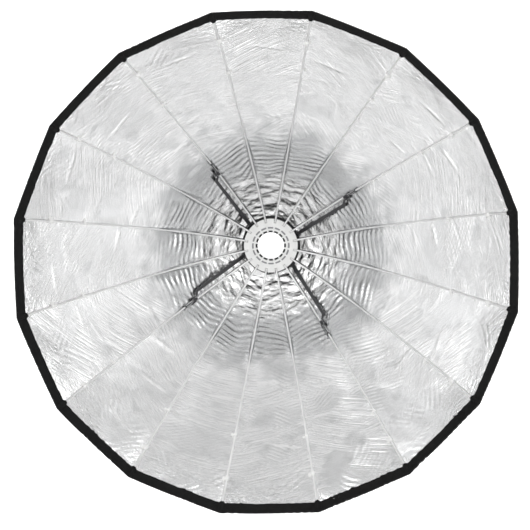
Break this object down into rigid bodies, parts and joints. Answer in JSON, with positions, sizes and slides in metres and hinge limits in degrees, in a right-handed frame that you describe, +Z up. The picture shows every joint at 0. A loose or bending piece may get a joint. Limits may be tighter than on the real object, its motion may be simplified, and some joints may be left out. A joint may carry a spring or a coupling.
{
  "type": "umbrella reflector",
  "caption": "Folding parabolic umbrella reflector: silver cloth gores on hinged rods around a turning speedring hub, opened by a runner and stays.",
  "frame": {"origin": "centre of the flash head's throat, in the plane of the speedring's mounting face", "axes": "the dish opens towards -Y, +Z is up, and +Y runs along the hub's axis to the back, where the flash head leaves"},
  "size_m": [1.4734, 0.868, 1.4734],
  "materials": {
    "cloth": "silver-coated cloth, satin outside the middle and crinkled like foil in it, black on the back and along the rim",
    "rod": "bright satin rod with a soft white cap at the tip",
    "white_plastic": "moulded white plastic",
    "black_plastic": "moulded black plastic, fine grain",
    "dark_metal": "dark grey coated flat bar",
    "bare_aluminium": "turned aluminium",
    "steel": "plain steel pin",
    "black_screw": "black oxide",
    "spring_steel": "spring wire"
  },
  "bodies": {
    "speedring": {"speedring": "bare_aluminium"},
    "hub": {"hub_body": "black_plastic", "rear_clamp_ring": "black_plastic", "rod_carrier": "white_plastic", "retaining_ring": "bare_aluminium", "hinge_pins": "steel", "front_screws": "white_plastic", "rear_screws": "black_screw", "button_spring_right": "spring_steel", "button_spring_left": "spring_steel"},
    "lock_knob": {"lock_knob": "black_plastic"},
    "release_button_right": {"release_button_right": "black_plastic"},
    "release_button_left": {"release_button_left": "black_plastic"},
    "runner": {"runner": "black_plastic", "stay_pins": "steel"},
    "rib_01": {"rib_01": "rod"},
    "rib_02": {"rib_02": "rod", "rib_clamp_02": "dark_metal"},
    "rib_03": {"rib_03": "rod"},
    "rib_04": {"rib_04": "rod"},
    "rib_05": {"rib_05": "rod"},
    "rib_06": {"rib_06": "rod", "rib_clamp_06": "dark_metal"},
    "rib_07": {"rib_07": "rod"},
    "rib_08": {"rib_08": "rod"},
    "rib_09": {"rib_09": "rod"},
    "rib_10": {"rib_10": "rod", "rib_clamp_10": "dark_metal"},
    "rib_11": {"rib_11": "rod"},
    "rib_12": {"rib_12": "rod"},
    "rib_13": {"rib_13": "rod"},
    "rib_14": {"rib_14": "rod", "rib_clamp_14": "dark_metal"},
    "rib_15": {"rib_15": "rod"},
    "rib_16": {"rib_16": "rod"},
    "gore_01": {"gore_01": "cloth"},
    "gore_02": {"gore_02": "cloth"},
    "gore_03": {"gore_03": "cloth"},
    "gore_04": {"gore_04": "cloth"},
    "gore_05": {"gore_05": "cloth"},
    "gore_06": {"gore_06": "cloth"},
    "gore_07": {"gore_07": "cloth"},
    "gore_08": {"gore_08": "cloth"},
    "gore_09": {"gore_09": "cloth"},
    "gore_10": {"gore_10": "cloth"},
    "gore_11": {"gore_11": "cloth"},
    "gore_12": {"gore_12": "cloth"},
    "gore_13": {"gore_13": "cloth"},
    "gore_14": {"gore_14": "cloth"},
    "gore_15": {"gore_15": "cloth"},
    "gore_16": {"gore_16": "cloth"},
    "stay_02": {"stay_02": "dark_metal"},
    "stay_06": {"stay_06": "dark_metal"},
    "stay_10": {"stay_10": "dark_metal"},
    "stay_14": {"stay_14": "dark_metal"}
  },
  "joints": [
    {"name": "hub_turn", "type": "hinge", "parent": "speedring", "child": "hub", "pos_m": [0, 0, 0], "axis": [0, -1, 0], "continuous": true},
    {"name": "fold", "type": "hinge", "parent": "hub", "child": "rib_01", "pos_m": [0.08147, -0.06793, 0.01621], "axis": [0.1951, 0, -0.9808], "range_deg": [0, 41.5]},
    {"name": "rib_02_fold", "type": "hinge", "parent": "hub", "child": "rib_02", "pos_m": [0.06907, -0.06793, 0.04615], "axis": [0.5556, 0, -0.8315], "range_deg": [0, 41.5]},
    {"name": "rib_03_fold", "type": "hinge", "parent": "hub", "child": "rib_03", "pos_m": [0.04615, -0.06793, 0.06907], "axis": [0.8315, 0, -0.5556], "range_deg": [0, 41.5]},
    {"name": "rib_04_fold", "type": "hinge", "parent": "hub", "child": "rib_04", "pos_m": [0.01621, -0.06793, 0.08147], "axis": [0.9808, 0, -0.1951], "range_deg": [0, 41.5]},
    {"name": "rib_05_fold", "type": "hinge", "parent": "hub", "child": "rib_05", "pos_m": [-0.01621, -0.06793, 0.08147], "axis": [0.9808, 0, 0.1951], "range_deg": [0, 41.5]},
    {"name": "rib_06_fold", "type": "hinge", "parent": "hub", "child": "rib_06", "pos_m": [-0.04615, -0.06793, 0.06907], "axis": [0.8315, 0, 0.5556], "range_deg": [0, 41.5]},
    {"name": "rib_07_fold", "type": "hinge", "parent": "hub", "child": "rib_07", "pos_m": [-0.06907, -0.06793, 0.04615], "axis": [0.5556, 0, 0.8315], "range_deg": [0, 41.5]},
    {"name": "rib_08_fold", "type": "hinge", "parent": "hub", "child": "rib_08", "pos_m": [-0.08147, -0.06793, 0.01621], "axis": [0.1951, 0, 0.9808], "range_deg": [0, 41.5]},
    {"name": "rib_09_fold", "type": "hinge", "parent": "hub", "child": "rib_09", "pos_m": [-0.08147, -0.06793, -0.01621], "axis": [-0.1951, 0, 0.9808], "range_deg": [0, 41.5]},
    {"name": "rib_10_fold", "type": "hinge", "parent": "hub", "child": "rib_10", "pos_m": [-0.06907, -0.06793, -0.04615], "axis": [-0.5556, 0, 0.8315], "range_deg": [0, 41.5]},
    {"name": "rib_11_fold", "type": "hinge", "parent": "hub", "child": "rib_11", "pos_m": [-0.04615, -0.06793, -0.06907], "axis": [-0.8315, 0, 0.5556], "range_deg": [0, 41.5]},
    {"name": "rib_12_fold", "type": "hinge", "parent": "hub", "child": "rib_12", "pos_m": [-0.01621, -0.06793, -0.08147], "axis": [-0.9808, 0, 0.1951], "range_deg": [0, 41.5]},
    {"name": "rib_13_fold", "type": "hinge", "parent": "hub", "child": "rib_13", "pos_m": [0.01621, -0.06793, -0.08147], "axis": [-0.9808, 0, -0.1951], "range_deg": [0, 41.5]},
    {"name": "rib_14_fold", "type": "hinge", "parent": "hub", "child": "rib_14", "pos_m": [0.04615, -0.06793, -0.06907], "axis": [-0.8315, 0, -0.5556], "range_deg": [0, 41.5]},
    {"name": "rib_15_fold", "type": "hinge", "parent": "hub", "child": "rib_15", "pos_m": [0.06907, -0.06793, -0.04615], "axis": [-0.5556, 0, -0.8315], "range_deg": [0, 41.5]},
    {"name": "rib_16_fold", "type": "hinge", "parent": "hub", "child": "rib_16", "pos_m": [0.08147, -0.06793, -0.01621], "axis": [-0.1951, 0, -0.9808], "range_deg": [0, 41.5]},
    {"name": "runner_slide", "type": "slide", "parent": "hub", "child": "runner", "axis": [0, -1, 0], "range_m": [0, 0.02961]},
    {"name": "stay_02_turn", "type": "hinge", "parent": "runner", "child": "stay_02", "pos_m": [0.08148, -0.022, 0.05445], "axis": [0.5556, 0, -0.8315], "range_deg": [0, 35.06]},
    {"name": "stay_06_turn", "type": "hinge", "parent": "runner", "child": "stay_06", "pos_m": [-0.05445, -0.022, 0.08148], "axis": [0.8315, 0, 0.5556], "range_deg": [0, 35.06]},
    {"name": "stay_10_turn", "type": "hinge", "parent": "runner", "child": "stay_10", "pos_m": [-0.08148, -0.022, -0.05445], "axis": [-0.5556, 0, 0.8315], "range_deg": [0, 35.06]},
    {"name": "stay_14_turn", "type": "hinge", "parent": "runner", "child": "stay_14", "pos_m": [0.05445, -0.022, -0.08148], "axis": [-0.8315, 0, -0.5556], "range_deg": [0, 35.06]},
    {"name": "gore_01_draw", "type": "hinge", "parent": "rib_01", "child": "gore_01", "pos_m": [0.07825, -0.06793, 0.03241], "axis": [0.866, 0.3483, 0.3587], "range_deg": [0, 15.86], "deforming": ["gore_01"]},
    {"name": "gore_02_draw", "type": "hinge", "parent": "rib_02", "child": "gore_02", "pos_m": [0.05989, -0.06793, 0.05989], "axis": [0.6628, 0.3483, 0.6628], "range_deg": [0, 15.86], "deforming": ["gore_02"]},
    {"name": "gore_03_draw", "type": "hinge", "parent": "rib_03", "child": "gore_03", "pos_m": [0.03241, -0.06793, 0.07825], "axis": [0.3587, 0.3483, 0.866], "range_deg": [0, 15.86], "deforming": ["gore_03"]},
    {"name": "gore_04_draw", "type": "hinge", "parent": "rib_04", "child": "gore_04", "pos_m": [0, -0.06793, 0.0847], "axis": [0, 0.3483, 0.9374], "range_deg": [0, 15.86], "deforming": ["gore_04"]},
    {"name": "gore_05_draw", "type": "hinge", "parent": "rib_05", "child": "gore_05", "pos_m": [-0.03241, -0.06793, 0.07825], "axis": [-0.3587, 0.3483, 0.866], "range_deg": [0, 15.86], "deforming": ["gore_05"]},
    {"name": "gore_06_draw", "type": "hinge", "parent": "rib_06", "child": "gore_06", "pos_m": [-0.05989, -0.06793, 0.05989], "axis": [-0.6628, 0.3483, 0.6628], "range_deg": [0, 15.86], "deforming": ["gore_06"]},
    {"name": "gore_07_draw", "type": "hinge", "parent": "rib_07", "child": "gore_07", "pos_m": [-0.07825, -0.06793, 0.03241], "axis": [-0.866, 0.3483, 0.3587], "range_deg": [0, 15.86], "deforming": ["gore_07"]},
    {"name": "gore_08_draw", "type": "hinge", "parent": "rib_08", "child": "gore_08", "pos_m": [-0.0847, -0.06793, 0], "axis": [-0.9374, 0.3483, 0], "range_deg": [0, 15.86], "deforming": ["gore_08"]},
    {"name": "gore_09_draw", "type": "hinge", "parent": "rib_09", "child": "gore_09", "pos_m": [-0.07825, -0.06793, -0.03241], "axis": [-0.866, 0.3483, -0.3587], "range_deg": [0, 15.86], "deforming": ["gore_09"]},
    {"name": "gore_10_draw", "type": "hinge", "parent": "rib_10", "child": "gore_10", "pos_m": [-0.05989, -0.06793, -0.05989], "axis": [-0.6628, 0.3483, -0.6628], "range_deg": [0, 15.86], "deforming": ["gore_10"]},
    {"name": "gore_11_draw", "type": "hinge", "parent": "rib_11", "child": "gore_11", "pos_m": [-0.03241, -0.06793, -0.07825], "axis": [-0.3587, 0.3483, -0.866], "range_deg": [0, 15.86], "deforming": ["gore_11"]},
    {"name": "gore_12_draw", "type": "hinge", "parent": "rib_12", "child": "gore_12", "pos_m": [0, -0.06793, -0.0847], "axis": [0, 0.3483, -0.9374], "range_deg": [0, 15.86], "deforming": ["gore_12"]},
    {"name": "gore_13_draw", "type": "hinge", "parent": "rib_13", "child": "gore_13", "pos_m": [0.03241, -0.06793, -0.07825], "axis": [0.3587, 0.3483, -0.866], "range_deg": [0, 15.86], "deforming": ["gore_13"]},
    {"name": "gore_14_draw", "type": "hinge", "parent": "rib_14", "child": "gore_14", "pos_m": [0.05989, -0.06793, -0.05989], "axis": [0.6628, 0.3483, -0.6628], "range_deg": [0, 15.86], "deforming": ["gore_14"]},
    {"name": "gore_15_draw", "type": "hinge", "parent": "rib_15", "child": "gore_15", "pos_m": [0.07825, -0.06793, -0.03241], "axis": [0.866, 0.3483, -0.3587], "range_deg": [0, 15.86], "deforming": ["gore_15"]},
    {"name": "gore_16_draw", "type": "hinge", "parent": "rib_16", "child": "gore_16", "pos_m": [0.0847, -0.06793, 0], "axis": [0.9374, 0.3483, 0], "range_deg": [0, 15.86], "deforming": ["gore_16"]},
    {"name": "lock_knob_turn", "type": "hinge", "parent": "hub", "child": "lock_knob", "pos_m": [0, -0.002, -0.1], "axis": [0, 0, -1], "range_deg": [0, 360]},
    {"name": "release_button_right_press", "type": "slide", "parent": "hub", "child": "release_button_right", "axis": [-1, 0, 0], "range_m": [0, 0.003], "stiffness_N_per_m": 800, "springref_m": -0.002, "deforming": ["button_spring_right"]},
    {"name": "release_button_left_press", "type": "slide", "parent": "hub", "child": "release_button_left", "axis": [1, 0, 0], "range_m": [0, 0.003], "stiffness_N_per_m": 800, "springref_m": -0.002, "deforming": ["button_spring_left"]}
  ],
  "couplings": [
    {"joint": "rib_02_fold", "follows": "fold", "ratio": 1},
    {"joint": "rib_03_fold", "follows": "fold", "ratio": 1},
    {"joint": "rib_04_fold", "follows": "fold", "ratio": 1},
    {"joint": "rib_05_fold", "follows": "fold", "ratio": 1},
    {"joint": "rib_06_fold", "follows": "fold", "ratio": 1},
    {"joint": "rib_07_fold", "follows": "fold", "ratio": 1},
    {"joint": "rib_08_fold", "follows": "fold", "ratio": 1},
    {"joint": "rib_09_fold", "follows": "fold", "ratio": 1},
    {"joint": "rib_10_fold", "follows": "fold", "ratio": 1},
    {"joint": "rib_11_fold", "follows": "fold", "ratio": 1},
    {"joint": "rib_12_fold", "follows": "fold", "ratio": 1},
    {"joint": "rib_13_fold", "follows": "fold", "ratio": 1},
    {"joint": "rib_14_fold", "follows": "fold", "ratio": 1},
    {"joint": "rib_15_fold", "follows": "fold", "ratio": 1},
    {"joint": "rib_16_fold", "follows": "fold", "ratio": 1},
    {"joint": "runner_slide", "follows": "fold", "m_per_rad": 0.040816},
    {"joint": "stay_02_turn", "follows": "fold", "ratio": 0.84453},
    {"joint": "stay_06_turn", "follows": "fold", "ratio": 0.84453},
    {"joint": "stay_10_turn", "follows": "fold", "ratio": 0.84453},
    {"joint": "stay_14_turn", "follows": "fold", "ratio": 0.84453},
    {"joint": "gore_01_draw", "follows": "fold", "ratio": 0.38201},
    {"joint": "gore_02_draw", "follows": "fold", "ratio": 0.38201},
    {"joint": "gore_03_draw", "follows": "fold", "ratio": 0.38201},
    {"joint": "gore_04_draw", "follows": "fold", "ratio": 0.38201},
    {"joint": "gore_05_draw", "follows": "fold", "ratio": 0.38201},
    {"joint": "gore_06_draw", "follows": "fold", "ratio": 0.38201},
    {"joint": "gore_07_draw", "follows": "fold", "ratio": 0.38201},
    {"joint": "gore_08_draw", "follows": "fold", "ratio": 0.38201},
    {"joint": "gore_09_draw", "follows": "fold", "ratio": 0.38201},
    {"joint": "gore_10_draw", "follows": "fold", "ratio": 0.38201},
    {"joint": "gore_11_draw", "follows": "fold", "ratio": 0.38201},
    {"joint": "gore_12_draw", "follows": "fold", "ratio": 0.38201},
    {"joint": "gore_13_draw", "follows": "fold", "ratio": 0.38201},
    {"joint": "gore_14_draw", "follows": "fold", "ratio": 0.38201},
    {"joint": "gore_15_draw", "follows": "fold", "ratio": 0.38201},
    {"joint": "gore_16_draw", "follows": "fold", "ratio": 0.38201}
  ]
}
